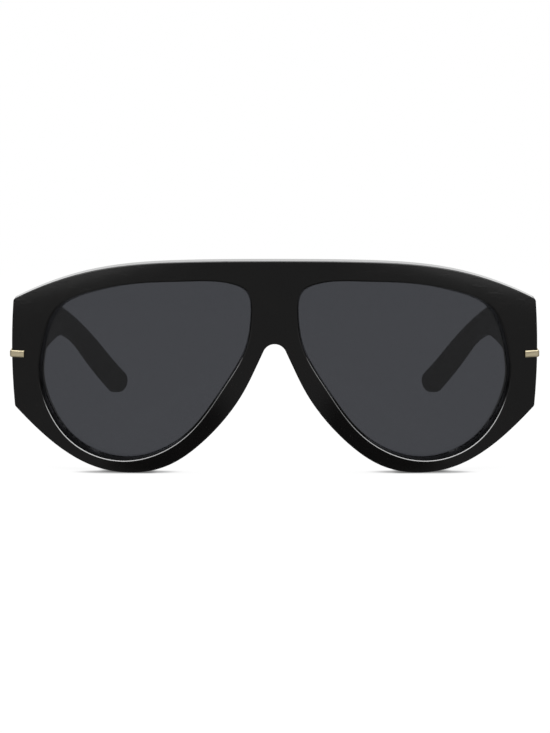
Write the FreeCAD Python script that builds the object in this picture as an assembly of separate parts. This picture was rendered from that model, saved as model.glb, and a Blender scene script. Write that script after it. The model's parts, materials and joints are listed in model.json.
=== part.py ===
"""Oversized flat-top sunglasses: a curved acetate front, two tinted lenses and two folding temples.

Millimetres, +Z up. The front faces -Y and the wearer's left is +X. The glasses stand open on their rims
and temple tips, and the origin lies on the table under the middle of that stance.
"""

import FreeCAD
import Part

import math
import os

V = FreeCAD.Vector
RIGHT = V(1, 0, 0)
BACK = V(0, 1, 0)
UP = V(0, 0, 1)

# Lens, boxed by its own outline
LENS_WIDTH = 62.1
LENS_HEIGHT = 52.5
LENS_THICKNESS = 1.8
LENS_CURVE_RADIUS = 265.0
LENS_SETBACK = 2.0
LENS_EDGE_DEPTH = 0.9
LENS_CLEARANCE = 0.05

# Lens outline on its box: across from nose (-1) to temple (+1), up from foot (-1) to brow (+1)
LENS_SHAPE = {
    "side": (1.000, 0.006),
    "upper side": (0.952, 0.328),
    "upper turn": (0.788, 0.702),
    "outer brow": (0.506, 0.862),
    "middle brow": (0.084, 0.965),
    "inner brow": (-0.409, 1.000),
    "nasal brow": (-0.813, 0.976),
    "nasal corner": (-0.952, 0.892),
    "nasal side": (-1.000, 0.622),
    "nasal waist": (-0.949, 0.264),
    "nasal flank": (-0.747, -0.158),
    "lower nasal": (-0.388, -0.712),
    "foot": (0.173, -1.000),
    "cheek": (0.661, -0.825),
    "lower side": (0.923, -0.425),
}

# Front
FRONT_RADIUS = 250.0
FRONT_THICKNESS = 6.0
BRIDGE_WIDTH = 11.8
BRIDGE_HEIGHT = 23.5
NOSE_ARCH_RADIUS = 3.4
NOSE_FLANK_ANGLE = 65.0
RIM_TOP = 5.4
RIM_INNER_BROW = 5.05
RIM_OUTER_BROW = 5.3
RIM_NASAL_FLANK = 5.0
RIM_LOWER_NASAL = 3.85
RIM_BOTTOM = 3.0
RIM_CHEEK = 3.3
END_PIECE_WIDTH = 7.6
END_PIECE_BULGE = 0.6
END_PIECE_FOOT = 18.4
BROW_DROP = 12.85
BROW_END_SLOPE = 28.5
CHEEK_ANGLE = 45.5
FRONT_EDGE_RADIUS = 0.35
FRONT_CORNER_RADIUS = 1.2
OPENING_BEVEL = 0.5
OPENING_SIDE_BEVEL = 0.75
OPENING_LIP_RADIUS = 0.45

# Nose pads
PAD_LENGTH = 18.0
PAD_WIDTH = 4.4
PAD_HEIGHT = 5.0
PAD_LEAN = 31.0

# Gold bars round the end pieces
BAR_HEIGHT = 2.0
BAR_LENGTH = 3.5
BAR_CENTRE_HEIGHT = 33.1
BAR_PROUD = 0.6
BAR_DEPTH = 0.7
BAR_BACK_MARGIN = 0.9
BAR_CORNER_RADIUS = 0.8
BAR_EDGE_RADIUS = 0.45
BAR_CLEARANCE = 0.03

# Hinges
HINGE_HEIGHT = 32.3
BARREL_COUNT = 5
BARREL_HEIGHT = 1.9
BARREL_RADIUS = 1.5
BARREL_GAP = 0.1
HINGE_GAP = 0.2
LEAF_THICKNESS = 1.0
LEAF_CLEARANCE = 0.03
FRONT_LEAF_WIDTH = 6.2
FRONT_LEAF_HEIGHT = 12.4
TEMPLE_LEAF_LENGTH = 15.0
TEMPLE_LEAF_HEIGHT = 7.6
SCREW_RADIUS = 0.7
SCREW_HEAD_RADIUS = 1.25
SCREW_HEAD_HEIGHT = 0.7
SCREW_SLOT_WIDTH = 0.35
SCREW_SLOT_DEPTH = 0.35
SCREW_SEAT_CLEARANCE = 0.01
SCREW_RUNNING_CLEARANCE = 0.04
RIVET_RADIUS = 0.55
RIVET_HEAD_RADIUS = 0.9
RIVET_HEAD_HEIGHT = 0.45
RIVET_CLEARANCE = 0.02
RIVET_EDGE_MARGIN = 1.6
FRONT_RIVET_LENGTH = 3.8
FRONT_RIVET_SPACING = 8.0
TEMPLE_RIVET_LENGTH = 2.6
TEMPLE_RIVET_SPACING = 7.0

# Temples
TEMPLE_REACH = 146.0
TEMPLE_THICKNESS = 3.8
TEMPLE_INSET = 0.5
TEMPLE_TOP = 43.9
TEMPLE_BOTTOM = 19.4
TEMPLE_TOP_SLOPE = -4.0
TEMPLE_BOTTOM_SLOPE = 4.4
TAIL_ANGLE = -41.0
TAIL_WIDTH = 7.3
BEND_RADIUS_TOP = 98.0
BEND_RADIUS_BOTTOM = 37.0
BOW_START = 69.5
BOW_RADIUS = 143.0
TEMPLE_EDGE_RADIUS = 1.2
CORE_THICKNESS = 1.2
CORE_WIDTH = 2.6
CORE_BEND_RADIUS = 60.0
CORE_TIP_MARGIN = 9.0
CORE_LEAF_MARGIN = 2.0
CORE_CLEARANCE = 0.03

# Cutting tools reach this far past what they cut, and edges are found to this tolerance
PAST = 4.0
TOUCH = 0.01
EDGE_SAMPLES = 7

# Worked-out places
BACK_RADIUS = FRONT_RADIUS - FRONT_THICKNESS
LENS_CENTRE_HEIGHT = RIM_BOTTOM + LENS_HEIGHT / 2
FRONT_HEIGHT = RIM_BOTTOM + LENS_HEIGHT + RIM_TOP
SEAT_DEPTH = LENS_SETBACK + LENS_HEIGHT ** 2 / (8 * LENS_CURVE_RADIUS)
SEAT_RADIUS = FRONT_RADIUS - SEAT_DEPTH
BACK_LIP = FRONT_THICKNESS - SEAT_DEPTH - LENS_THICKNESS
OPENING_BACK_RADIUS = BACK_LIP / 2
FACE_FORM = math.atan2(LENS_WIDTH / 2, SEAT_RADIUS) + math.asin(
    BRIDGE_WIDTH / 2 / math.hypot(SEAT_RADIUS, LENS_WIDTH / 2))


def front_view(across, up):
    """Place of a point of the lens plane as seen from straight ahead."""
    x = across * math.cos(FACE_FORM) + SEAT_RADIUS * math.sin(FACE_FORM)
    return V(x, 0, up + LENS_CENTRE_HEIGHT)


HALF_WIDTH = front_view(LENS_WIDTH / 2, 0).x + END_PIECE_WIDTH
TEMPLE_INNER = HALF_WIDTH - TEMPLE_INSET - TEMPLE_THICKNESS
PIVOT_X = TEMPLE_INNER - HINGE_GAP - BARREL_RADIUS
PIVOT_RADIUS = BACK_RADIUS - HINGE_GAP - BARREL_RADIUS
PIVOT_Y = FRONT_RADIUS - math.sqrt(PIVOT_RADIUS ** 2 - PIVOT_X ** 2)
BARREL_PITCH = BARREL_HEIGHT + BARREL_GAP
STACK_HEIGHT = BARREL_COUNT * BARREL_PITCH - BARREL_GAP
STACK_FOOT = HINGE_HEIGHT - STACK_HEIGHT / 2
FRONT_LEAF_START = PIVOT_X - BARREL_RADIUS
FRONT_RIVET_X = FRONT_LEAF_START + FRONT_LEAF_WIDTH - RIVET_EDGE_MARGIN
LEAF_END = PIVOT_Y + TEMPLE_LEAF_LENGTH
TIP_RADIUS = TAIL_WIDTH / 2
TIP_CENTRE = V(0, TEMPLE_REACH - TIP_RADIUS, TIP_RADIUS)
ORIGIN_SHIFT = V(0, -TEMPLE_REACH / 2, 0)


def box(x0, x1, y0, y1, z0, z1):
    return Part.makeBox(x1 - x0, y1 - y0, z1 - z0, V(x0, y0, z0))


def disc(radius):
    """Upright cylinder about the axis that the front curves round."""
    return Part.makeCylinder(radius, FRONT_HEIGHT + 2 * PAST, V(0, FRONT_RADIUS, -PAST), UP)


def mirrored(shape):
    return shape.mirror(V(0, 0, 0), RIGHT)


def spline(points, start, end):
    curve = Part.BSplineCurve()
    curve.interpolate(Points=points, InitialTangent=start, FinalTangent=end)
    return curve.toShape()


def loop(points):
    curve = Part.BSplineCurve()
    curve.interpolate(Points=points, PeriodicFlag=True)
    return curve


def heading(degrees, level):
    """Unit vector that rises by an angle from a level direction."""
    angle = math.radians(degrees)
    return level * math.cos(angle) + UP * math.sin(angle)


def lens_points(grow):
    """Lens outline points by name, in the lens plane, moved outward by grow."""
    points = {name: V(a * LENS_WIDTH / 2, 0, b * LENS_HEIGHT / 2) for name, (a, b) in LENS_SHAPE.items()}
    curve = loop(list(points.values()))
    for name, point in points.items():
        along = curve.tangent(curve.parameter(point))[0]
        points[name] = point + V(along.z, 0, -along.x) * grow
    return points


def lens_wire(grow, depth, widen=0.0, heighten=0.0):
    """Closed lens outline at a depth behind the front, grown and stretched about the lens centre."""
    wide = 1 + 2 * widen / LENS_WIDTH
    high = 1 + 2 * heighten / LENS_HEIGHT
    points = [V(p.x * wide, depth, p.z * high) for p in lens_points(grow).values()]
    return Part.Wire(loop(points).toShape())


def lens_prism(grow, depth):
    return Part.Face(lens_wire(grow, depth)).extrude(BACK * (FRONT_THICKNESS + 2 * PAST))


def in_lens_place(shape):
    """Carry a shape from the lens plane to the wearer's left side of the front."""
    placed = shape.translated(UP * LENS_CENTRE_HEIGHT)
    placed.rotate(BACK * FRONT_RADIUS, UP, math.degrees(FACE_FORM))
    return placed


def lens_shell(clearance):
    """Spherical shell of the lens, thickened by the clearance on both faces."""
    centre = BACK * (LENS_SETBACK + LENS_CURVE_RADIUS)
    outer = Part.makeSphere(LENS_CURVE_RADIUS + clearance, centre)
    return outer.cut(Part.makeSphere(LENS_CURVE_RADIUS - LENS_THICKNESS - clearance, centre))


def lens():
    return in_lens_place(lens_prism(-LENS_CLEARANCE, 0).common(lens_shell(0)))


def lens_cutters():
    """Bevelled mouth, eye opening and lens groove."""
    sight = -LENS_EDGE_DEPTH
    side_depth = SEAT_DEPTH - LENS_WIDTH ** 2 / (8 * FRONT_RADIUS)
    reach = SEAT_DEPTH + PAST
    widen = OPENING_SIDE_BEVEL * reach / side_depth
    heighten = OPENING_BEVEL * reach / SEAT_DEPTH
    ends = [lens_wire(sight, SEAT_DEPTH), lens_wire(sight, -PAST, widen, heighten)]
    mouth = Part.makeLoft(ends, True, True)
    opening = lens_prism(sight, SEAT_DEPTH)
    groove = lens_prism(0, 0).common(lens_shell(LENS_CLEARANCE))
    return [in_lens_place(tool) for tool in (mouth, opening, groove)]


def rim_point(name, wall):
    """Front-view point that stands outside the lens outline by a wall."""
    point = lens_points(wall)[name]
    return front_view(point.x, point.z)


def corner_arc(joint, joint_angle, end_angle):
    """Joint, middle and end of a rounded corner of the end piece, by the angles of its outward normal."""
    centre = joint - heading(joint_angle, RIGHT) * FRONT_CORNER_RADIUS
    angles = (joint_angle, (joint_angle + end_angle) / 2, end_angle)
    return [centre + heading(angle, RIGHT) * FRONT_CORNER_RADIUS for angle in angles]


def half_outline():
    """Edges of the front's outline on the wearer's left, from the brow's middle round to the nose arch."""
    brow_middle = UP * FRONT_HEIGHT
    inner_brow = rim_point("inner brow", RIM_INNER_BROW)
    outer_brow = rim_point("outer brow", RIM_OUTER_BROW)
    side_top = V(HALF_WIDTH - END_PIECE_BULGE, 0, FRONT_HEIGHT - BROW_DROP)
    side_foot = V(HALF_WIDTH - END_PIECE_BULGE, 0, END_PIECE_FOOT)
    side_middle = V(HALF_WIDTH, 0, (side_top.z + side_foot.z) / 2)
    lean = math.degrees(2 * math.atan2(2 * END_PIECE_BULGE, side_top.z - side_foot.z))
    upper = corner_arc(side_top, lean, 90 - BROW_END_SLOPE)
    lower = corner_arc(side_foot, -lean, CHEEK_ANGLE - 90)
    cheek = rim_point("cheek", RIM_CHEEK)
    foot = V(rim_point("foot", RIM_BOTTOM).x, 0, 0)
    lower_nasal = rim_point("lower nasal", RIM_LOWER_NASAL)
    flank = rim_point("nasal flank", RIM_NASAL_FLANK)
    arch_top = UP * (FRONT_HEIGHT - BRIDGE_HEIGHT)
    arch_centre = arch_top - UP * NOSE_ARCH_RADIUS
    arch_middle = arch_centre + heading(90 - NOSE_FLANK_ANGLE / 2, RIGHT) * NOSE_ARCH_RADIUS
    arch_end = arch_centre + heading(90 - NOSE_FLANK_ANGLE, RIGHT) * NOSE_ARCH_RADIUS
    brow_points = [brow_middle, inner_brow, outer_brow, upper[-1]]
    return [
        spline(brow_points, RIGHT, heading(-BROW_END_SLOPE, RIGHT)),
        Part.Arc(*upper).toShape(),
        Part.Arc(side_top, side_middle, side_foot).toShape(),
        Part.Arc(*lower).toShape(),
        spline([lower[-1], cheek, foot], heading(180 + CHEEK_ANGLE, RIGHT), -RIGHT),
        spline([foot, lower_nasal, flank, arch_end], -RIGHT, heading(180 - NOSE_FLANK_ANGLE, RIGHT)),
        Part.Arc(arch_end, arch_middle, arch_top).toShape(),
    ]


def edges_on_disc(shape, radius):
    """Edges that lie on one of the front's two curved faces."""
    found = []
    for edge in shape.Edges:
        samples = edge.discretize(EDGE_SAMPLES)
        if all(abs(math.hypot(p.x, p.y - FRONT_RADIUS) - radius) < TOUCH for p in samples):
            found.append(edge)
    return found


def front_blank():
    half = half_outline()
    outline = Part.Wire(Part.__sortEdges__(half + [mirrored(edge) for edge in half]))
    slab = Part.Face(outline.translated(BACK * -PAST)).extrude(BACK * FRONT_RADIUS / 2)
    slab = slab.common(disc(FRONT_RADIUS)).cut(disc(BACK_RADIUS))
    rims = edges_on_disc(slab, FRONT_RADIUS) + edges_on_disc(slab, BACK_RADIUS)
    return slab.makeFillet(FRONT_EDGE_RADIUS, rims)


def front_frame():
    frame = front_blank()
    for tool in lens_cutters():
        frame = frame.cut(tool).cut(mirrored(tool))
    for radius, rounding in ((FRONT_RADIUS, OPENING_LIP_RADIUS), (BACK_RADIUS, OPENING_BACK_RADIUS)):
        mouths = [edge for edge in edges_on_disc(frame, radius) if is_mouth(edge)]
        frame = frame.makeFillet(rounding, mouths)
    for tool in (corner_bar(BAR_CLEARANCE), front_leaf(LEAF_CLEARANCE), front_rivets(RIVET_CLEARANCE)):
        frame = frame.cut(tool).cut(mirrored(tool))
    return frame


def is_mouth(edge):
    """An eye opening's front or back edge is one loop round the lens centre."""
    return len(edge.Vertexes) == 1


def nose_pad():
    """Rounded pad on the back of the nasal rim, leaning along it."""
    centre = rim_point("nasal flank", RIM_NASAL_FLANK / 2)
    stretch = FreeCAD.Matrix()
    stretch.scale(PAD_WIDTH / 2, PAD_HEIGHT, PAD_LENGTH / 2)
    pad = Part.makeSphere(1).transformGeometry(stretch)
    pad.rotate(V(0, 0, 0), BACK, -PAD_LEAN)
    depth = FRONT_RADIUS - math.sqrt(BACK_RADIUS ** 2 - centre.x ** 2)
    return pad.translated(centre + BACK * depth).common(disc(BACK_RADIUS))


def proud_edges(bar):
    """Upper and lower edges of the bar's face, which stands off the acetate."""
    found = []
    for edge in bar.Edges:
        middle = edge.discretize(3)[1]
        off_face = math.hypot(middle.x, middle.y - FRONT_RADIUS) - FRONT_RADIUS
        stands_off = max(off_face, middle.x - HALF_WIDTH) > BAR_PROUD / 2
        if stands_off and edge.BoundBox.ZLength < TOUCH:
            found.append(edge)
    return found


def corner_bar(grow):
    """Bar let into the end piece's face and its outer side, with rounded upper and lower edges."""
    foot = BAR_CENTRE_HEIGHT - BAR_HEIGHT / 2 - grow
    top = BAR_CENTRE_HEIGHT + BAR_HEIGHT / 2 + grow
    inner_end = HALF_WIDTH - BAR_LENGTH - grow
    outer = box(inner_end, HALF_WIDTH + BAR_PROUD, -PAST, FRONT_RADIUS / 2, foot, top)
    outer = outer.common(disc(FRONT_RADIUS + BAR_PROUD)).cut(disc(BACK_RADIUS + BAR_BACK_MARGIN - grow))
    inner = box(0, HALF_WIDTH - BAR_DEPTH - grow, -PAST, FRONT_RADIUS / 2, foot, top)
    bar = outer.cut(inner.common(disc(FRONT_RADIUS - BAR_DEPTH - grow)))
    corner = [e for e in edges_on_disc(bar, FRONT_RADIUS + BAR_PROUD) if e.BoundBox.XMin > HALF_WIDTH]
    bar = bar.makeFillet(BAR_CORNER_RADIUS, corner)
    return bar.makeFillet(BAR_EDGE_RADIUS, proud_edges(bar))


def barrel(place, clearance):
    """One barrel of the hinge, counted from the foot of the stack, with its hole."""
    foot = V(PIVOT_X, PIVOT_Y, STACK_FOOT + place * BARREL_PITCH)
    hole = Part.makeCylinder(SCREW_RADIUS + clearance, BARREL_HEIGHT, foot)
    return Part.makeCylinder(BARREL_RADIUS, BARREL_HEIGHT, foot), hole


def leaf_with_barrels(leaf, places, web_sides, clearance):
    """Join a hinge leaf to its barrels by webs and drill it for the screw."""
    holes = []
    for place in places:
        foot = STACK_FOOT + place * BARREL_PITCH
        body, hole = barrel(place, clearance)
        web = box(*web_sides, foot, foot + BARREL_HEIGHT).common(disc(BACK_RADIUS + LEAF_THICKNESS))
        leaf = leaf.fuse(body).fuse(web)
        holes.append(hole)
    return leaf.cut(Part.makeCompound(holes)).removeSplitter()


def front_leaf(grow):
    """Leaf flush in the end piece's back face."""
    leaf = box(
        FRONT_LEAF_START - grow, FRONT_LEAF_START + FRONT_LEAF_WIDTH + grow, 0, PIVOT_Y + PAST,
        HINGE_HEIGHT - FRONT_LEAF_HEIGHT / 2 - grow, HINGE_HEIGHT + FRONT_LEAF_HEIGHT / 2 + grow)
    return leaf.common(disc(BACK_RADIUS + LEAF_THICKNESS + grow)).cut(disc(BACK_RADIUS))


def front_hinge():
    sides = (PIVOT_X - BARREL_RADIUS, PIVOT_X + BARREL_RADIUS, 0, PIVOT_Y)
    leaf = front_leaf(0).cut(front_rivets(RIVET_CLEARANCE))
    return leaf_with_barrels(leaf, range(0, BARREL_COUNT, 2), sides, SCREW_SEAT_CLEARANCE)


def temple_leaf(grow):
    """Leaf flush in the temple's inner face."""
    return box(
        TEMPLE_INNER, TEMPLE_INNER + LEAF_THICKNESS + grow, PIVOT_Y - grow, LEAF_END + grow,
        HINGE_HEIGHT - TEMPLE_LEAF_HEIGHT / 2 - grow, HINGE_HEIGHT + TEMPLE_LEAF_HEIGHT / 2 + grow)


def temple_hinge():
    sides = (PIVOT_X, TEMPLE_INNER + LEAF_THICKNESS, PIVOT_Y, PIVOT_Y + BARREL_RADIUS)
    leaf = temple_leaf(0).cut(temple_rivets(RIVET_CLEARANCE))
    return leaf_with_barrels(leaf, range(1, BARREL_COUNT, 2), sides, SCREW_RUNNING_CLEARANCE)


def hinge_screw():
    foot = V(PIVOT_X, PIVOT_Y, STACK_FOOT)
    head_foot = foot + UP * STACK_HEIGHT
    screw = Part.makeCylinder(SCREW_RADIUS, STACK_HEIGHT, foot)
    screw = screw.fuse(Part.makeCylinder(SCREW_HEAD_RADIUS, SCREW_HEAD_HEIGHT, head_foot))
    head_top = head_foot.z + SCREW_HEAD_HEIGHT
    slot = box(
        PIVOT_X - BARREL_RADIUS, PIVOT_X + BARREL_RADIUS,
        PIVOT_Y - SCREW_SLOT_WIDTH / 2, PIVOT_Y + SCREW_SLOT_WIDTH / 2,
        head_top - SCREW_SLOT_DEPTH, head_top)
    return screw.cut(slot).removeSplitter()


def rivet(start, direction, length, grow):
    """Flush-headed rivet, grown all round for its hole."""
    shank = Part.makeCylinder(RIVET_RADIUS + grow, length + grow, start, direction)
    head = Part.makeCylinder(RIVET_HEAD_RADIUS + grow, RIVET_HEAD_HEIGHT + grow, start, direction)
    return shank.fuse(head).removeSplitter()


def front_rivets(grow):
    pair = []
    for side in (-1, 1):
        start = V(0, FRONT_THICKNESS, HINGE_HEIGHT + side * FRONT_RIVET_SPACING / 2)
        pair.append(rivet(start, -BACK, FRONT_RIVET_LENGTH, grow))
    group = Part.makeCompound(pair)
    group.rotate(BACK * FRONT_RADIUS, UP, math.degrees(math.asin(FRONT_RIVET_X / BACK_RADIUS)))
    return group


def temple_rivets(grow):
    pair = []
    middle = PIVOT_Y + TEMPLE_LEAF_LENGTH / 2
    for side in (-1, 1):
        start = V(TEMPLE_INNER, middle + side * TEMPLE_RIVET_SPACING / 2, HINGE_HEIGHT)
        pair.append(rivet(start, RIGHT, TEMPLE_RIVET_LENGTH, grow))
    return Part.makeCompound(pair)


def meet(p, p_slope, q, q_slope):
    """Where two lines of the side view cross."""
    p_rise = math.tan(math.radians(p_slope))
    q_rise = math.tan(math.radians(q_slope))
    y = (q.z - p.z + p_rise * p.y - q_rise * q.y) / (p_rise - q_rise)
    return V(0, y, p.z + p_rise * (y - p.y))


def rounded_corner(before, corner, after, radius):
    """Start, middle and end of the arc that rounds a corner."""
    back = (before - corner).normalize()
    ahead = (after - corner).normalize()
    half = back.getAngle(ahead) / 2
    run = radius / math.tan(half)
    inward = (back + ahead).normalize()
    middle = corner + inward * (radius / math.sin(half) - radius)
    return corner + back * run, middle, corner + ahead * run


def arm_side(front_y, top, bottom, tip, tip_radius, top_radius, bottom_radius):
    """Side view of a temple: two sloping edges that bend down into a tail with a round tip.

    top and bottom are a point and a slope each, tip is the centre of the round end.
    """
    along = heading(TAIL_ANGLE, BACK)
    across = heading(TAIL_ANGLE + 90, BACK)
    tip_top = tip + across * tip_radius
    tip_bottom = tip - across * tip_radius
    top_start = meet(*top, V(0, front_y, 0), 90)
    bottom_start = meet(*bottom, V(0, front_y, 0), 90)
    upper = rounded_corner(top_start, meet(*top, tip_top, TAIL_ANGLE), tip_top, top_radius)
    lower = rounded_corner(tip_bottom, meet(*bottom, tip_bottom, TAIL_ANGLE), bottom_start, bottom_radius)
    edges = [
        Part.makeLine(top_start, upper[0]),
        Part.Arc(*upper).toShape(),
        Part.makeLine(upper[2], tip_top),
        Part.Arc(tip_top, tip + along * tip_radius, tip_bottom).toShape(),
        Part.makeLine(tip_bottom, lower[0]),
        Part.Arc(*lower).toShape(),
        Part.makeLine(lower[2], bottom_start),
        Part.makeLine(bottom_start, top_start),
    ]
    return Part.Face(Part.Wire(edges)).extrude(RIGHT * (HALF_WIDTH + PAST))


def arm_plan(inner, thickness):
    """Plan view of a temple: straight from the hinge, then bowed towards the head."""
    centre = V(TEMPLE_INNER - BOW_RADIUS, BOW_START, -PAST)
    turn = math.asin((TEMPLE_REACH + PAST - BOW_START) / BOW_RADIUS)

    def side(x):
        radius = x - centre.x
        spots = [centre + V(math.cos(turn * k), math.sin(turn * k), 0) * radius for k in (0, 0.5, 1)]
        straight = Part.makeLine(V(x, 0, -PAST), spots[0])
        return straight, Part.Arc(*spots).toShape()

    inner_line, inner_arc = side(inner)
    outer_line, outer_arc = side(inner + thickness)
    front_end = Part.makeLine(inner_line.Vertexes[0].Point, outer_line.Vertexes[0].Point)
    back_end = Part.makeLine(inner_arc.Vertexes[-1].Point, outer_arc.Vertexes[-1].Point)
    edges = [inner_line, inner_arc, back_end, outer_arc, outer_line, front_end]
    outline = Part.Wire(Part.__sortEdges__(edges))
    return Part.Face(outline).extrude(UP * (FRONT_HEIGHT + 2 * PAST))


def temple_core(grow):
    """Flat wire along the middle of the temple, from behind the hinge leaf into the tail."""
    half = CORE_WIDTH / 2 + grow
    middle = V(0, PIVOT_Y, (TEMPLE_TOP + TEMPLE_BOTTOM) / 2)
    slope = (TEMPLE_TOP_SLOPE + TEMPLE_BOTTOM_SLOPE) / 2
    tip = TIP_CENTRE - heading(TAIL_ANGLE, BACK) * CORE_TIP_MARGIN
    side = arm_side(
        LEAF_END + CORE_LEAF_MARGIN - grow, (middle + UP * half, slope), (middle - UP * half, slope),
        tip, half, CORE_BEND_RADIUS + half, CORE_BEND_RADIUS - half)
    inner = TEMPLE_INNER + (TEMPLE_THICKNESS - CORE_THICKNESS) / 2 - grow
    return side.common(arm_plan(inner, CORE_THICKNESS + 2 * grow))


def temple():
    top = (V(0, PIVOT_Y, TEMPLE_TOP), TEMPLE_TOP_SLOPE)
    bottom = (V(0, PIVOT_Y, TEMPLE_BOTTOM), TEMPLE_BOTTOM_SLOPE)
    side = arm_side(PAST, top, bottom, TIP_CENTRE, TIP_RADIUS, BEND_RADIUS_TOP, BEND_RADIUS_BOTTOM)
    arm = side.common(arm_plan(TEMPLE_INNER, TEMPLE_THICKNESS))
    long_edges = [e for e in arm.Edges if e.BoundBox.YMax > PIVOT_Y and e.BoundBox.YLength > TIP_RADIUS]
    arm = arm.makeFillet(TEMPLE_EDGE_RADIUS, long_edges)
    arm = arm.common(disc(BACK_RADIUS - HINGE_GAP))
    for tool in (temple_leaf(LEAF_CLEARANCE), temple_rivets(RIVET_CLEARANCE), temple_core(CORE_CLEARANCE)):
        arm = arm.cut(tool)
    return arm


def save(name, shape):
    shape.translated(ORIGIN_SHIFT).exportStep(os.path.join("parts", name + ".step"))


def main():
    os.makedirs("parts", exist_ok=True)
    save("front_frame", front_frame())
    left_pieces = {
        "lens": lens(),
        "nose_pad": nose_pad(),
        "corner_bar": corner_bar(0),
        "front_hinge": front_hinge(),
        "front_rivets": front_rivets(0),
        "hinge_screw": hinge_screw(),
        "temple": temple(),
        "temple_hinge": temple_hinge(),
        "temple_rivets": temple_rivets(0),
        "temple_core": temple_core(0),
    }
    for name, piece in left_pieces.items():
        save(name + "_left", piece)
        save(name + "_right", mirrored(piece))
    print("hinge axis at", PIVOT_X, PIVOT_Y + ORIGIN_SHIFT.y, "front half width", HALF_WIDTH)


main()
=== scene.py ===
"""Finish of a pair of oversized flat-top sunglasses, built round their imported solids.

The solids carry the shapes. This file gives each piece a smooth skin and a finish of its own: polished
acetate, tinted lens, pale gold and steel. It also sets the table, the lights and the camera.
"""

import json
import math

import bmesh
import bpy
from mathutils import Matrix, Vector

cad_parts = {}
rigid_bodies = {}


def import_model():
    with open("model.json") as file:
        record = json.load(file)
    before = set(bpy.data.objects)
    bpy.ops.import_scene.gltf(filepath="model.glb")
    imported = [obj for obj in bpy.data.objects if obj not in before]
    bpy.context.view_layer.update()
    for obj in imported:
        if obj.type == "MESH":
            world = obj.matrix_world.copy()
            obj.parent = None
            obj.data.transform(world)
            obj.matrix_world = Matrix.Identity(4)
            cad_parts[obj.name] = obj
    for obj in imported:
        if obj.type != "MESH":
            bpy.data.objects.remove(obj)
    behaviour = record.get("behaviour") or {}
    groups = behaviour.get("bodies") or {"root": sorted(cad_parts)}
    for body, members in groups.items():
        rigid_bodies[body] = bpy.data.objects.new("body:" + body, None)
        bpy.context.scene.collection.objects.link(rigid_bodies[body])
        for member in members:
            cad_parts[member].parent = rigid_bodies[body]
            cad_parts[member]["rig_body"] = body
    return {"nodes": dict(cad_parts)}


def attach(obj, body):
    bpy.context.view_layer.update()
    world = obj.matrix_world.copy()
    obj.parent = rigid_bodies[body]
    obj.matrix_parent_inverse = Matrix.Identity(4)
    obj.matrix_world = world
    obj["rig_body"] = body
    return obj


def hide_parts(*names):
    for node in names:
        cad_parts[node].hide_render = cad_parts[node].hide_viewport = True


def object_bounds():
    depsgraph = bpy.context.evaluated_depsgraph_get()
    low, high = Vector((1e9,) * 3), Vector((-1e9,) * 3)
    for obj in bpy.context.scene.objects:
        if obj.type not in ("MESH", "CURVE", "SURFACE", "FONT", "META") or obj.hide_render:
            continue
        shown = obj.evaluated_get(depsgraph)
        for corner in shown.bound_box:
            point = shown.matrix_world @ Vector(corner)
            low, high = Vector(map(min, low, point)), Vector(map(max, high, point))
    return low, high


bl_info = {
    "name": "Oversized Sunglasses Finish",
    "version": (1, 0, 0),
    "blender": (4, 5, 0),
    "location": "View3D > Sidebar > Sunglasses",
    "description": "Skins, finishes and studio for a pair of oversized flat-top sunglasses",
    "category": "Object",
}

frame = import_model()
CAD_BOX = [list(corner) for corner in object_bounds()]
SIDES = {"left": 1, "right": -1}
MERGE_DISTANCE = 2e-7
CREASE = math.radians(40)
WHITE = (1.0, 1.0, 1.0, 1.0)

# Surfaces of the solids, in metres
ON_SURFACE = 4e-6
SAME_WAY = 0.7
NARROW_FACE = 0.02
FRONT_RADIUS = 0.250
FRONT_THICKNESS = 0.006
FRONT_AXIS = (0.0, CAD_BOX[0][1] + FRONT_RADIUS)
LENS_RADIUS = 0.265
LENS_THICKNESS = 0.0018
LENS_CENTRE_DISTANCE = 0.017
LENS_CENTRE_HEIGHT = 0.02925
FACE_FORM = math.radians(8.5333)
TEMPLE_INNER = 0.0706125
TEMPLE_THICKNESS = 0.0038
BOW_RADIUS = 0.143
BOW_START = -0.0035

# Finishes: noise levels that count as hairlines, strength and distance of bumps, roughness from and to
HAIRLINES = (0.58, 0.78)
HAIRLINE_SHARE = 0.5
ACETATE_WAVES = (0.06, 0.0001)
METAL_LINES = (0.15, 0.00002)
DARK_LINE_SHARE = 0.82
GOLD_ROUGHNESS = (0.30, 0.42)
STEEL_ROUGHNESS = (0.18, 0.36)
# Core of the patch of painted rim shade on the table
RIM_SHADE_CORE = 0.3


class AcetateFinish(bpy.types.PropertyGroup):
    colour: bpy.props.FloatVectorProperty(
        name="Colour", description="Body colour of the acetate", subtype="COLOR", size=3,
        min=0.0, max=1.0, default=(0.0022, 0.0022, 0.0024))
    depth_colour: bpy.props.FloatVectorProperty(
        name="Depth Colour", description="Faint warmer tone in the depth of the sheet", subtype="COLOR",
        size=3, min=0.0, max=1.0, default=(0.0045, 0.0040, 0.0036))
    roughness: bpy.props.FloatProperty(
        name="Roughness", description="Roughness of the cleanest polish", subtype="FACTOR",
        min=0.0, max=1.0, default=0.07)
    haze: bpy.props.FloatProperty(
        name="Haze", description="Roughness that polishing swirls add", subtype="FACTOR",
        min=0.0, max=1.0, default=0.05)


class LensFinish(bpy.types.PropertyGroup):
    tint: bpy.props.FloatVectorProperty(
        name="Tint", description="Light that the lens lets through", subtype="COLOR", size=3,
        min=0.0, max=1.0, default=(0.0445, 0.0467, 0.0538))
    haze: bpy.props.FloatProperty(
        name="Haze", description="Roughness of wiping marks on the lens", subtype="FACTOR",
        min=0.0, max=1.0, default=0.012)


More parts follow.
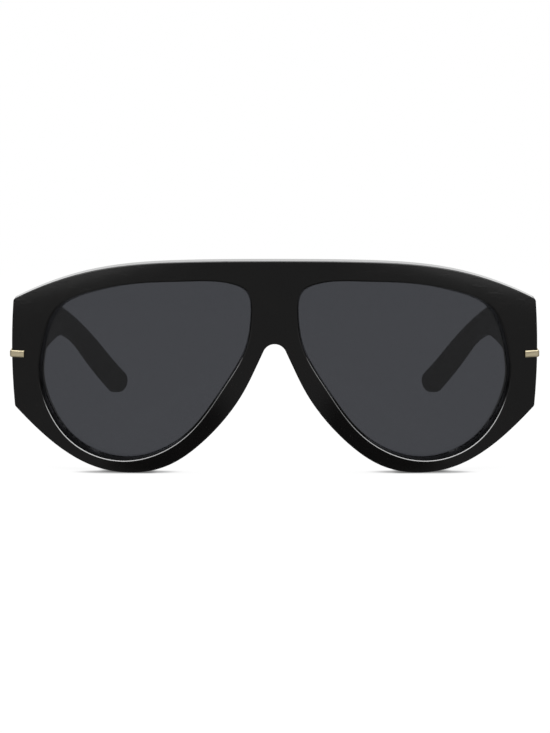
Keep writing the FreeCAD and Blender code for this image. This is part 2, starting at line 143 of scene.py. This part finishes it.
class MetalFinish(bpy.types.PropertyGroup):
    gold: bpy.props.FloatVectorProperty(
        name="Gold", description="Colour of the corner bars", subtype="COLOR", size=3,
        min=0.0, max=1.0, default=(0.86, 0.75, 0.51))
    steel: bpy.props.FloatVectorProperty(
        name="Steel", description="Colour of hinges, screws, rivets and cores", subtype="COLOR", size=3,
        min=0.0, max=1.0, default=(0.52, 0.52, 0.54))


class StudioSet(bpy.types.PropertyGroup):
    camera_distance: bpy.props.FloatProperty(
        name="Camera Distance", description="From the bridge to the camera", unit="LENGTH",
        subtype="DISTANCE", min=0.1, default=0.75)
    camera_elevation: bpy.props.FloatProperty(
        name="Camera Elevation", description="Angle of the camera above level", subtype="ANGLE",
        min=0.0, max=math.pi / 2, default=math.radians(9.0))
    camera_lens: bpy.props.FloatProperty(
        name="Focal Length", description="Focal length on a 36 mm sensor", unit="CAMERA",
        min=1.0, default=131.05)
    aim_height: bpy.props.FloatProperty(
        name="Aim Height", description="Height that the camera looks at", unit="LENGTH",
        subtype="DISTANCE", min=0.0, default=0.03113)
    dome: bpy.props.FloatProperty(
        name="Dome", description="Brightness of the surroundings", min=0.0, default=0.25)
    top_light: bpy.props.FloatProperty(
        name="Top Light", description="Power of the soft light overhead", unit="POWER",
        min=0.0, default=3.1)
    edge_light: bpy.props.FloatProperty(
        name="Edge Light", description="Watts per square metre of the arch that polished edges mirror",
        min=0.0, default=10.0)
    lip_light: bpy.props.FloatProperty(
        name="Lip Light", description="Power of the near cards that the lips of the openings mirror",
        unit="POWER", min=0.0, default=0.153)
    brow_light: bpy.props.FloatProperty(
        name="Brow Light", description="Power of the low panels that the outer brows mirror", unit="POWER",
        min=0.0, default=0.007)
    bar_light: bpy.props.FloatProperty(
        name="Bar Light", description="Power of the panel that the gold bars mirror", unit="POWER",
        min=0.0, default=6.3)
    back_light: bpy.props.FloatProperty(
        name="Back Light", description="Power of the soft light behind", unit="POWER",
        min=0.0, default=3.2)
    contact_reach: bpy.props.FloatProperty(
        name="Contact Reach", description="How near a piece darkens the table under it", unit="LENGTH",
        subtype="DISTANCE", min=0.0, default=0.0012)


# Node groups and materials

def add(tree, kind, **values):
    """New node with its settings and input values."""
    node = tree.nodes.new(kind)
    for name, value in values.items():
        if hasattr(node, name):
            setattr(node, name, value)
        else:
            node.inputs[name.replace("_", " ")].default_value = value
    return node


def group_of(name, inputs, outputs):
    """Empty shader node group with named sockets, its input node and its output node."""
    tree = bpy.data.node_groups.new(name, "ShaderNodeTree")
    for socket, kind, value in inputs:
        tree.interface.new_socket(socket, in_out="INPUT", socket_type=kind).default_value = value
    for socket, kind in outputs:
        tree.interface.new_socket(socket, in_out="OUTPUT", socket_type=kind)
    return tree, tree.nodes.new("NodeGroupInput"), tree.nodes.new("NodeGroupOutput")


def ramp(tree, value, low, high, at_low, at_high, interpolation="SMOOTHSTEP"):
    """Value carried over from the range low to high into the range at_low to at_high."""
    node = add(tree, "ShaderNodeMapRange", interpolation_type=interpolation)
    for socket, number in zip(("From Min", "From Max", "To Min", "To Max"), (low, high, at_low, at_high)):
        node.inputs[socket].default_value = number
    tree.links.new(value, node.inputs["Value"])
    return node.outputs["Result"]


def polish_group():
    """Marks of a polishing wheel: roughness, a height for faint waves and the cloud of its swirls."""
    name = "Wheel Polish"
    if name in bpy.data.node_groups:
        return bpy.data.node_groups[name]
    tree, given, out = group_of(
        name,
        [("Place", "NodeSocketVector", (0, 0, 0)), ("Swirl Scale", "NodeSocketFloat", 90.0),
         ("Hairline Scale", "NodeSocketFloat", 700.0), ("Clean", "NodeSocketFloat", 0.07),
         ("Haze", "NodeSocketFloat", 0.05)],
        [("Roughness", "NodeSocketFloat"), ("Height", "NodeSocketFloat"), ("Cloud", "NodeSocketFloat")])
    links = tree.links
    cloud = add(tree, "ShaderNodeTexNoise", Detail=3.0, Roughness=0.55, Distortion=0.8)
    links.new(given.outputs["Place"], cloud.inputs["Vector"])
    links.new(given.outputs["Swirl Scale"], cloud.inputs["Scale"])
    stretch = add(tree, "ShaderNodeMapping")
    stretch.inputs["Scale"].default_value = (0.06, 1.0, 1.0)
    stretch.inputs["Rotation"].default_value = (0.35, 0.2, 0.5)
    links.new(given.outputs["Place"], stretch.inputs["Vector"])
    hair = add(tree, "ShaderNodeTexNoise", Detail=2.0, Roughness=0.6, Distortion=0.3)
    links.new(stretch.outputs["Vector"], hair.inputs["Vector"])
    links.new(given.outputs["Hairline Scale"], hair.inputs["Scale"])
    thin = ramp(tree, hair.outputs["Fac"], *HAIRLINES, 0.0, 1.0, "LINEAR")
    both = add(tree, "ShaderNodeMath", operation="MULTIPLY_ADD")
    links.new(thin, both.inputs[0])
    both.inputs[1].default_value = HAIRLINE_SHARE
    links.new(cloud.outputs["Fac"], both.inputs[2])
    rough = add(tree, "ShaderNodeMath", operation="MULTIPLY_ADD")
    links.new(both.outputs[0], rough.inputs[0])
    links.new(given.outputs["Haze"], rough.inputs[1])
    links.new(given.outputs["Clean"], rough.inputs[2])
    links.new(rough.outputs[0], out.inputs["Roughness"])
    links.new(both.outputs[0], out.inputs["Height"])
    links.new(cloud.outputs["Fac"], out.inputs["Cloud"])
    return tree


def brushed_group():
    """Fine parallel lines of brushed metal along X, with slow changes of tone."""
    name = "Brushed Metal"
    if name in bpy.data.node_groups:
        return bpy.data.node_groups[name]
    tree, given, out = group_of(
        name,
        [("Place", "NodeSocketVector", (0, 0, 0)), ("Line Scale", "NodeSocketFloat", 6000.0),
         ("Light", "NodeSocketColor", (0.8, 0.8, 0.8, 1)), ("Dark", "NodeSocketColor", (0.6, 0.6, 0.6, 1)),
         ("Smooth", "NodeSocketFloat", 0.2), ("Coarse", "NodeSocketFloat", 0.35)],
        [("Colour", "NodeSocketColor"), ("Roughness", "NodeSocketFloat"), ("Height", "NodeSocketFloat")])
    links = tree.links
    stretch = add(tree, "ShaderNodeMapping")
    stretch.inputs["Scale"].default_value = (0.03, 1.0, 1.0)
    links.new(given.outputs["Place"], stretch.inputs["Vector"])
    lines = add(tree, "ShaderNodeTexNoise", Detail=3.0, Roughness=0.6)
    links.new(stretch.outputs["Vector"], lines.inputs["Vector"])
    links.new(given.outputs["Line Scale"], lines.inputs["Scale"])
    tone = add(tree, "ShaderNodeMix", data_type="RGBA")
    links.new(lines.outputs["Fac"], tone.inputs["Factor"])
    links.new(given.outputs["Dark"], tone.inputs["A"])
    links.new(given.outputs["Light"], tone.inputs["B"])
    rough = add(tree, "ShaderNodeMapRange")
    links.new(lines.outputs["Fac"], rough.inputs["Value"])
    links.new(given.outputs["Smooth"], rough.inputs["To Min"])
    links.new(given.outputs["Coarse"], rough.inputs["To Max"])
    links.new(tone.outputs["Result"], out.inputs["Colour"])
    links.new(rough.outputs["Result"], out.inputs["Roughness"])
    links.new(lines.outputs["Fac"], out.inputs["Height"])
    return tree


def rim_shade_group():
    """Mask of painted shade on the table by each rim: 1 in its middle, 0 beyond its width and reach."""
    name = "Rim Shade"
    if name in bpy.data.node_groups:
        return bpy.data.node_groups[name]
    tree, given, out = group_of(
        name,
        [("Place", "NodeSocketVector", (0, 0, 0)), ("Across", "NodeSocketFloat", 0.038),
         ("Width", "NodeSocketFloat", 0.026), ("Back", "NodeSocketFloat", -0.095),
         ("Reach Forward", "NodeSocketFloat", 0.16), ("Reach Behind", "NodeSocketFloat", 0.04)],
        [("Shade", "NodeSocketFloat")])
    links = tree.links

    def share(value, zero, length, sign):
        """How much of a length lies between a value and its zero, counted one way."""
        gap = add(tree, "ShaderNodeMath", operation="SUBTRACT")
        part = add(tree, "ShaderNodeMath", operation="DIVIDE")
        links.new(value, gap.inputs[0 if sign > 0 else 1])
        links.new(zero, gap.inputs[1 if sign > 0 else 0])
        links.new(gap.outputs[0], part.inputs[0])
        links.new(length, part.inputs[1])
        return part.outputs[0]

    split = add(tree, "ShaderNodeSeparateXYZ")
    links.new(given.outputs["Place"], split.inputs[0])
    beside = add(tree, "ShaderNodeMath", operation="ABSOLUTE")
    links.new(split.outputs["X"], beside.inputs[0])
    along = add(tree, "ShaderNodeMath", operation="MAXIMUM")
    for number, (reach, sign) in enumerate((("Reach Forward", -1), ("Reach Behind", 1))):
        part = share(split.outputs["Y"], given.outputs["Back"], given.outputs[reach], sign)
        links.new(part, along.inputs[number])
    both = add(tree, "ShaderNodeCombineXYZ")
    part = share(beside.outputs[0], given.outputs["Across"], given.outputs["Width"], 1)
    links.new(part, both.inputs["X"])
    links.new(along.outputs[0], both.inputs["Y"])
    distance = add(tree, "ShaderNodeVectorMath", operation="LENGTH")
    links.new(both.outputs[0], distance.inputs[0])
    links.new(ramp(tree, distance.outputs["Value"], RIM_SHADE_CORE, 1.0, 1.0, 0.0), out.inputs["Shade"])
    return tree


def new_material(name):
    """Principled material, with its tree, its shader and the socket of Object coordinates."""
    material = bpy.data.materials.new(name)
    material.use_nodes = True
    tree = material.node_tree
    shader = tree.nodes["Principled BSDF"]
    place = add(tree, "ShaderNodeTexCoord").outputs["Object"]
    return material, tree, shader, place


def bump_into(tree, shader, height, strength, distance):
    """Bump of a height, fed into the shader's normal."""
    bump = add(tree, "ShaderNodeBump")
    bump.inputs["Strength"].default_value = strength
    bump.inputs["Distance"].default_value = distance
    tree.links.new(height, bump.inputs["Height"])
    tree.links.new(bump.outputs["Normal"], shader.inputs["Normal"])


def acetate():
    """Black acetate, polished to a deep gloss."""
    name = "Polished Acetate"
    if name in bpy.data.materials:
        return bpy.data.materials[name]
    finish = bpy.context.scene.acetate_finish
    material, tree, shader, place = new_material(name)
    polish = add(tree, "ShaderNodeGroup", node_tree=polish_group())
    polish.inputs["Clean"].default_value = finish.roughness
    polish.inputs["Haze"].default_value = finish.haze
    tree.links.new(place, polish.inputs["Place"])
    depth = add(tree, "ShaderNodeMix", data_type="RGBA")
    depth.inputs["A"].default_value = (*finish.colour, 1)
    depth.inputs["B"].default_value = (*finish.depth_colour, 1)
    tree.links.new(polish.outputs["Cloud"], depth.inputs["Factor"])
    tree.links.new(depth.outputs["Result"], shader.inputs["Base Color"])
    tree.links.new(polish.outputs["Roughness"], shader.inputs["Roughness"])
    shader.inputs["IOR"].default_value = 1.49
    bump_into(tree, shader, polish.outputs["Height"], *ACETATE_WAVES)
    return material


def lens_tint():
    """Neutral grey lens, clear through and hard coated."""
    name = "Tinted Lens"
    if name in bpy.data.materials:
        return bpy.data.materials[name]
    finish = bpy.context.scene.lens_finish
    material, tree, shader, place = new_material(name)
    shader.inputs["Base Color"].default_value = (*finish.tint, 1)
    shader.inputs["Transmission Weight"].default_value = 1.0
    shader.inputs["IOR"].default_value = 1.5
    shader.inputs["Coat Weight"].default_value = 0.35
    shader.inputs["Coat Roughness"].default_value = 0.02
    wipe = add(tree, "ShaderNodeGroup", node_tree=polish_group())
    wipe.inputs["Swirl Scale"].default_value = 45.0
    wipe.inputs["Hairline Scale"].default_value = 300.0
    wipe.inputs["Clean"].default_value = 0.0
    wipe.inputs["Haze"].default_value = finish.haze
    tree.links.new(place, wipe.inputs["Place"])
    tree.links.new(wipe.outputs["Roughness"], shader.inputs["Roughness"])
    return material


def brushed_metal(name, colour, smooth, coarse):
    """Metal of a colour, brushed along X."""
    if name in bpy.data.materials:
        return bpy.data.materials[name]
    material, tree, shader, place = new_material(name)
    shader.inputs["Metallic"].default_value = 1.0
    brushed = add(tree, "ShaderNodeGroup", node_tree=brushed_group())
    brushed.inputs["Light"].default_value = (*colour, 1)
    brushed.inputs["Dark"].default_value = (*[DARK_LINE_SHARE * part for part in colour], 1)
    brushed.inputs["Smooth"].default_value = smooth
    brushed.inputs["Coarse"].default_value = coarse
    tree.links.new(place, brushed.inputs["Place"])
    tree.links.new(brushed.outputs["Colour"], shader.inputs["Base Color"])
    tree.links.new(brushed.outputs["Roughness"], shader.inputs["Roughness"])
    bump_into(tree, shader, brushed.outputs["Height"], *METAL_LINES)
    return material


def gold():
    return brushed_metal("Pale Gold", bpy.context.scene.metal_finish.gold, *GOLD_ROUGHNESS)


def steel():
    return brushed_metal("Hinge Steel", bpy.context.scene.metal_finish.steel, *STEEL_ROUGHNESS)


# Pieces

def pieces_of(material):
    """Collection of the pieces that wear a material, for lights that serve one finish."""
    if material.name not in bpy.data.collections:
        bpy.data.collections.new(material.name)
    return bpy.data.collections[material.name]


def front_way(point):
    """Direction square to the curved front at a point, its distance from the axis, and the faces' radii."""
    away = Vector((point.x - FRONT_AXIS[0], point.y - FRONT_AXIS[1], 0))
    return away.normalized(), away.length, (FRONT_RADIUS, FRONT_RADIUS - FRONT_THICKNESS)


def lens_way(side):
    """The same for a lens, from the centre of its sphere."""
    centre = Vector((
        -side * LENS_CENTRE_DISTANCE * math.sin(FACE_FORM),
        FRONT_AXIS[1] + LENS_CENTRE_DISTANCE * math.cos(FACE_FORM),
        LENS_CENTRE_HEIGHT))

    def way(point):
        away = point - centre
        return away.normalized(), away.length, (LENS_RADIUS, LENS_RADIUS - LENS_THICKNESS)
    return way


def temple_way(side):
    """The same for a temple, straight and then bowed towards the head."""
    axis = side * (TEMPLE_INNER - BOW_RADIUS)

    def way(point):
        away = Vector((point.x - axis, max(point.y - BOW_START, 0), 0))
        return away.normalized(), away.length, (BOW_RADIUS, BOW_RADIUS + TEMPLE_THICKNESS)
    return way


def true_normals(mesh, way, across):
    """Corner normals as the solid has them, where its broad faces meet rounded edges.

    way gives the direction square to the broad faces, across is the axis that the narrow sides run along.
    """
    normals = [corner.vector.copy() for corner in mesh.corner_normals]
    narrow = set()
    for face in mesh.polygons:
        if across is not None and abs(face.normal[across]) < NARROW_FACE:
            narrow.update(face.vertices)
    for loop in mesh.loops:
        point = mesh.vertices[loop.vertex_index].co
        normal = normals[loop.index]
        direction, distance, broad = way(point)
        turn = direction.dot(normal)
        if any(abs(distance - radius) < ON_SURFACE for radius in broad) and abs(turn) > SAME_WAY:
            normals[loop.index] = direction if turn > 0 else -direction
        elif loop.vertex_index in narrow:
            level = normal.copy()
            level[across] = 0
            if level.length > SAME_WAY:
                normals[loop.index] = level.normalized()
    mesh.normals_split_custom_set(normals)


def skin(node, name, material, way=None, across=None):
    """Smooth skin over a solid, in its place and riding on its body."""
    solid = frame["nodes"][node]
    shell = bmesh.new()
    shell.from_mesh(solid.data)
    bmesh.ops.remove_doubles(shell, verts=shell.verts, dist=MERGE_DISTANCE)
    for face in shell.faces:
        face.smooth = True
    mesh = bpy.data.meshes.new(name)
    shell.to_mesh(mesh)
    shell.free()
    if "custom_normal" in mesh.attributes:
        mesh.attributes.remove(mesh.attributes["custom_normal"])
    mesh.set_sharp_from_angle(angle=CREASE)
    if way:
        true_normals(mesh, way, across)
    mesh.materials.clear()
    mesh.materials.append(material)
    piece = bpy.data.objects.new(name, mesh)
    bpy.context.scene.collection.objects.link(piece)
    pieces_of(material).objects.link(piece)
    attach(piece, solid["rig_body"])
    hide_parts(node)
    return piece


class SUNGLASSES_OT_front(bpy.types.Operator):
    """Polish the front and its nose pads"""
    bl_idname = "sunglasses.front"
    bl_label = "Front"

    def execute(self, context):
        skin("front_frame", "front_acetate", acetate(), front_way, 1)
        for side in SIDES:
            skin("nose_pad_" + side, "nose_pad_acetate_" + side, acetate())
        return {"FINISHED"}


class SUNGLASSES_OT_temples(bpy.types.Operator):
    """Polish the temples and finish the wires inside them"""
    bl_idname = "sunglasses.temples"
    bl_label = "Temples"

    def execute(self, context):
        for side, sign in SIDES.items():
            skin("temple_" + side, "temple_acetate_" + side, acetate(), temple_way(sign), 0)
            skin("temple_core_" + side, "temple_core_wire_" + side, steel())
        return {"FINISHED"}


class SUNGLASSES_OT_lenses(bpy.types.Operator):
    """Tint the lenses"""
    bl_idname = "sunglasses.lenses"
    bl_label = "Lenses"

    def execute(self, context):
        for side, sign in SIDES.items():
            skin("lens_" + side, "lens_tinted_" + side, lens_tint(), lens_way(sign))
        return {"FINISHED"}


class SUNGLASSES_OT_corner_bars(bpy.types.Operator):
    """Gild the bars round the end pieces"""
    bl_idname = "sunglasses.corner_bars"
    bl_label = "Corner Bars"

    def execute(self, context):
        for side in SIDES:
            skin("corner_bar_" + side, "corner_bar_gold_" + side, gold())
        return {"FINISHED"}


class SUNGLASSES_OT_hinges(bpy.types.Operator):
    """Brush the hinges, screws and rivets"""
    bl_idname = "sunglasses.hinges"
    bl_label = "Hinges"

    def execute(self, context):
        for side in SIDES:
            for node in ("front_hinge", "temple_hinge", "hinge_screw", "front_rivets", "temple_rivets"):
                skin(node + "_" + side, node + "_steel_" + side, steel())
        return {"FINISHED"}


# Studio

FLOOR_RADIUS = 6.0
FLOOR_FACETS = 96
SENSOR_WIDTH = 36.0
CAMERA_SHIFT = 0.00011

# Table: its own white, its glow with painted shade at a contact and clear of one, a painted contact shadow
# under each rim, and where the painted shading fades out
MATTE_WHITE = 0.16
PAINTED_CONTACT_SHADE_GLOW = 0.42
CLEAR_GLOW = 0.95
SHADING_FADE = (0.16, 0.45)
PAINTED_CONTACT_SHADOW = {
    "Across": 0.0421, "Width": 0.0193, "Back": -0.0681, "Reach Forward": 0.0036, "Reach Behind": 0.0036}
PAINTED_CONTACT_SHADOW_DARK = 0.37

# Glow of the table in the gloss of the pieces, with a painted dark reflection in front of each rim, and the
# glowing sheet that paints light back over it for the lenses
GLOSS_WHITE = 0.26
GLOSS_SHADE = 0.05
SHEET_HALF = 0.3
SHEET_HEIGHT = 0.0004

# Lights: sizes, places and turns. Arch panels: turn in degrees, width, middle along Y, depth
TOP_BOX = (0.8, 0.8)
TOP_BOX_PLACE = (0, -0.02, 0.80)
BACK_BOX = (2.4, 0.5)
BACK_BOX_PLACE = (0, 1.7, 0.26)
ARCH_RADIUS = 0.72
ARCH_PANELS = (
    (0, 0.32, -0.30, 1.10), (25, 0.32, -0.45, 0.80), (-25, 0.32, -0.45, 0.80),
    (50, 0.32, -0.60, 0.80), (-50, 0.32, -0.60, 0.80))
LIP_CARD = (0.095, 0.052)
LIP_CARD_PLACE = (0.0575, -0.095, 0.034)
LIP_CARD_SPREAD = math.radians(150)
BROW_PANEL = (0.15, 0.02)
BROW_PANEL_PLACE = (0.1267, -0.20, 0.0464)
BROW_PANEL_SLOPE = math.radians(9.5)
BAR_TOP_PANEL = (1.2, 1.0)
BAR_TOP_PANEL_PLACE = (0, -0.3, 0.76)
BAR_PANEL = (0.20, 0.20)
BAR_PANEL_PLACE = (0.19, -0.24, 0.001)
BAR_PANEL_SHARE = 0.0114
FACING_DOWN = (0, 0, 0)
FACING_UP = (math.pi, 0, 0)
FACING_FRONT = (-math.pi / 2, 0, 0)


def bare_material(name):
    """Material with an empty tree, for what the studio itself is made of."""
    material = bpy.data.materials.new(name)
    material.use_nodes = True
    material.node_tree.nodes.clear()
    return material, material.node_tree


def rim_shade(tree, place, values):
    """Painted shade by the rims at a place, with the group's own values or with others."""
    shade = add(tree, "ShaderNodeGroup", node_tree=rim_shade_group())
    tree.links.new(place, shade.inputs["Place"])
    for socket, value in values.items():
        shade.inputs[socket].default_value = value
    return shade.outputs["Shade"]


def glow(tree, level):
    """Emission of a level."""
    shader = add(tree, "ShaderNodeEmission")
    tree.links.new(level, shader.inputs["Color"])
    return shader.outputs[0]


def joined(tree, kind, *sources):
    """Shader that joins others, fed in the order of its sockets."""
    shader = add(tree, kind)
    for source, socket in zip(sources, shader.inputs):
        tree.links.new(source, socket)
    return shader.outputs[0]


def table_white(contact_reach):
    """White table: painted shadow where a piece nearly touches it and under each rim; dim in the gloss of
    the pieces, with painted shade in front of each rim.
    """
    material, tree = bare_material("Table White")
    links = tree.links
    path = add(tree, "ShaderNodeLightPath")
    place = add(tree, "ShaderNodeTexCoord").outputs["Object"]
    # Painted shade: the glow of the table drops where ambient occlusion finds a piece nearby.
    painted_contact_shade = add(tree, "ShaderNodeAmbientOcclusion", Distance=contact_reach)
    painted_shade_level = add(tree, "ShaderNodeMath", operation="MULTIPLY")
    links.new(ramp(tree, painted_contact_shade.outputs["AO"], 0.0, 1.0, PAINTED_CONTACT_SHADE_GLOW, CLEAR_GLOW), painted_shade_level.inputs[0])
    # Painted contact shadow: a dark patch on the table under each rim.
    painted_contact_shadow = rim_shade(tree, place, PAINTED_CONTACT_SHADOW)
    links.new(ramp(tree, painted_contact_shadow, 0.0, 1.0, 1.0, PAINTED_CONTACT_SHADOW_DARK), painted_shade_level.inputs[1])
    # Real shading from the lamps on the matte white, added to the glow with its painted shade.
    matte = add(tree, "ShaderNodeBsdfDiffuse")
    matte.inputs["Color"].default_value = (MATTE_WHITE, MATTE_WHITE, MATTE_WHITE, 1)
    near = joined(tree, "ShaderNodeAddShader", matte.outputs[0], glow(tree, painted_shade_level.outputs[0]))
    even = add(tree, "ShaderNodeEmission").outputs[0]
    reach = add(tree, "ShaderNodeVectorMath", operation="LENGTH")
    links.new(place, reach.inputs[0])
    far = ramp(tree, reach.outputs["Value"], *SHADING_FADE, 0.0, 1.0)
    seen = joined(tree, "ShaderNodeMixShader", far, near, even)
    # Painted dark reflection: in the gloss of the pieces the table's glow drops in front of each rim.
    dim = glow(tree, ramp(tree, rim_shade(tree, place, {}), 0.0, 1.0, GLOSS_WHITE, GLOSS_SHADE))
    gloss = joined(tree, "ShaderNodeMixShader", path.outputs["Is Glossy Ray"], seen, dim)
    through = joined(tree, "ShaderNodeMixShader", path.outputs["Is Transmission Ray"], gloss, even)
    links.new(through, add(tree, "ShaderNodeOutputMaterial").inputs["Surface"])
    return material


def studio_object(name, shell, material):
    """Object made from a finished bmesh."""
    mesh = bpy.data.meshes.new(name)
    shell.to_mesh(mesh)
    shell.free()
    mesh.materials.append(material)
    thing = bpy.data.objects.new(name, mesh)
    bpy.context.scene.collection.objects.link(thing)
    return thing


def painted_lens_fill_sheet():
    """Clear sheet over the table whose glow paints light back over the painted rim shade in what the lenses
    mirror.
    """
    material, tree = bare_material("Lens Sheet")
    shade = rim_shade(tree, add(tree, "ShaderNodeTexCoord").outputs["Object"], {})
    # Painted light: the sheet glows over the painted rim shade, seen only in the gloss of the lenses.
    painted_fill = glow(tree, ramp(tree, shade, 0.0, 1.0, 0.0, GLOSS_WHITE - GLOSS_SHADE))
    clear = add(tree, "ShaderNodeBsdfTransparent").outputs[0]
    both = joined(tree, "ShaderNodeAddShader", painted_fill, clear)
    tree.links.new(both, add(tree, "ShaderNodeOutputMaterial").inputs["Surface"])
    shell = bmesh.new()
    height = Matrix.Translation((0, 0, SHEET_HEIGHT))
    bmesh.ops.create_grid(shell, x_segments=1, y_segments=1, size=SHEET_HALF, matrix=height)
    sheet = studio_object("painted_lens_fill_sheet", shell, material)
    sheet.visible_camera = False
    sheet.visible_diffuse = False
    sheet.visible_transmission = False
    sheet.visible_shadow = False
    sheet.light_linking.receiver_collection = pieces_of(lens_tint())


def soft_box(name, power, size, place, turn):
    """Rectangular soft light that is not seen in the picture itself."""
    light = bpy.data.lights.new(name, "AREA")
    light.shape = "RECTANGLE"
    light.size, light.size_y = size
    light.energy = power
    lamp = bpy.data.objects.new(name, light)
    lamp.location = place
    lamp.rotation_euler = turn
    lamp.visible_camera = False
    bpy.context.scene.collection.objects.link(lamp)
    return lamp


def gloss_panel(name, power, size, place, turn, material):
    """Soft light that only the gloss of one material mirrors."""
    panel = soft_box(name, power, size, place, turn)
    panel.visible_diffuse = False
    panel.visible_transmission = False
    panel.light_linking.receiver_collection = pieces_of(material)
    return panel


def hang_lights(studio):
    """Soft lights for the whole scene, and panels for the acetate and the gold alone."""
    soft_box("top_soft_box", studio.top_light, TOP_BOX, TOP_BOX_PLACE, FACING_DOWN)
    soft_box("back_soft_box", studio.back_light, BACK_BOX, BACK_BOX_PLACE, FACING_FRONT)
    for turn, width, middle, depth in ARCH_PANELS:
        angle = math.radians(turn)
        place = Vector((math.sin(angle), 0, math.cos(angle))) * ARCH_RADIUS + Vector((0, middle, 0))
        power = studio.edge_light * width * depth
        gloss_panel("edge_panel", power, (width, depth), place, (0, angle, 0), acetate())
    gloss_panel(
        "bar_top_panel", studio.bar_light, BAR_TOP_PANEL, BAR_TOP_PANEL_PLACE, FACING_DOWN, gold())
    for sign in SIDES.values():
        place = (sign * BROW_PANEL_PLACE[0], *BROW_PANEL_PLACE[1:])
        facing_back = (math.pi / 2, sign * BROW_PANEL_SLOPE, 0)
        gloss_panel("brow_panel", studio.brow_light, BROW_PANEL, place, facing_back, acetate())
        place = (sign * LIP_CARD_PLACE[0], *LIP_CARD_PLACE[1:])
        card = gloss_panel("lip_card", studio.lip_light, LIP_CARD, place, FACING_DOWN, acetate())
        card.data.spread = LIP_CARD_SPREAD
        place = (sign * BAR_PANEL_PLACE[0], *BAR_PANEL_PLACE[1:])
        gloss_panel("bar_panel", BAR_PANEL_SHARE * studio.bar_light, BAR_PANEL, place, FACING_UP, gold())


def white_room(brightness):
    """Surroundings: white to the eye and through a lens, dimmer as a source of light."""
    world = bpy.data.worlds.new("White Room")
    bpy.context.scene.world = world
    world.use_nodes = True
    tree = world.node_tree
    ground = tree.nodes["Background"]
    ground.inputs["Color"].default_value = WHITE
    path = add(tree, "ShaderNodeLightPath")
    seen = add(tree, "ShaderNodeMath", operation="MAXIMUM")
    tree.links.new(path.outputs["Is Camera Ray"], seen.inputs[0])
    tree.links.new(path.outputs["Is Transmission Ray"], seen.inputs[1])
    level = ramp(tree, seen.outputs[0], 0.0, 1.0, brightness, 1.0, "LINEAR")
    tree.links.new(level, ground.inputs["Strength"])


def set_camera(studio):
    """Camera in front of the bridge, a little above level."""
    camera = bpy.data.cameras.new("camera")
    camera.sensor_width = SENSOR_WIDTH
    camera.lens = studio.camera_lens
    eye = bpy.data.objects.new("camera", camera)
    bridge = Vector((CAMERA_SHIFT, CAD_BOX[0][1], studio.aim_height))
    back = Vector((0, -math.cos(studio.camera_elevation), math.sin(studio.camera_elevation)))
    eye.location = bridge + back * studio.camera_distance
    eye.rotation_euler = (-back).to_track_quat("-Z", "Y").to_euler()
    bpy.context.scene.collection.objects.link(eye)
    bpy.context.scene.camera = eye


class SUNGLASSES_OT_stage(bpy.types.Operator):
    """Set the white table, the lights and the camera"""
    bl_idname = "sunglasses.stage"
    bl_label = "Studio"

    def execute(self, context):
        studio = context.scene.studio_set
        disc = bmesh.new()
        bmesh.ops.create_circle(disc, cap_ends=True, radius=FLOOR_RADIUS, segments=FLOOR_FACETS)
        table = studio_object("table", disc, table_white(studio.contact_reach))
        painted_lens_fill_sheet()
        hang_lights(studio)
        white_room(studio.dome)
        set_camera(studio)
        context.scene.view_settings.view_transform = "Standard"
        return {"FINISHED"}


class SUNGLASSES_PT_panel(bpy.types.Panel):
    bl_idname = "SUNGLASSES_PT_panel"
    bl_label = "Sunglasses"
    bl_space_type = "VIEW_3D"
    bl_region_type = "UI"
    bl_category = "Sunglasses"

    def draw(self, context):
        for operator in OPERATORS:
            self.layout.operator(operator.bl_idname)
        for settings in SETTINGS:
            box = self.layout.box()
            group = getattr(context.scene, settings)
            for name in group.bl_rna.properties.keys():
                if name not in ("rna_type", "name"):
                    box.prop(group, name)


OPERATORS = (
    SUNGLASSES_OT_stage,
    SUNGLASSES_OT_front,
    SUNGLASSES_OT_temples,
    SUNGLASSES_OT_lenses,
    SUNGLASSES_OT_corner_bars,
    SUNGLASSES_OT_hinges,
)
SETTINGS = {
    "acetate_finish": AcetateFinish,
    "lens_finish": LensFinish,
    "metal_finish": MetalFinish,
    "studio_set": StudioSet,
}


def register():
    for kind in (*SETTINGS.values(), *OPERATORS, SUNGLASSES_PT_panel):
        bpy.utils.register_class(kind)
    for name, kind in SETTINGS.items():
        setattr(bpy.types.Scene, name, bpy.props.PointerProperty(type=kind))


def unregister():
    for name in SETTINGS:
        delattr(bpy.types.Scene, name)
    for kind in reversed((*SETTINGS.values(), *OPERATORS, SUNGLASSES_PT_panel)):
        bpy.utils.unregister_class(kind)


def main():
    register()
    bpy.ops.sunglasses.stage()
    bpy.ops.sunglasses.front()
    bpy.ops.sunglasses.temples()
    bpy.ops.sunglasses.lenses()
    bpy.ops.sunglasses.corner_bars()
    bpy.ops.sunglasses.hinges()


if __name__ == "__main__":
    main()
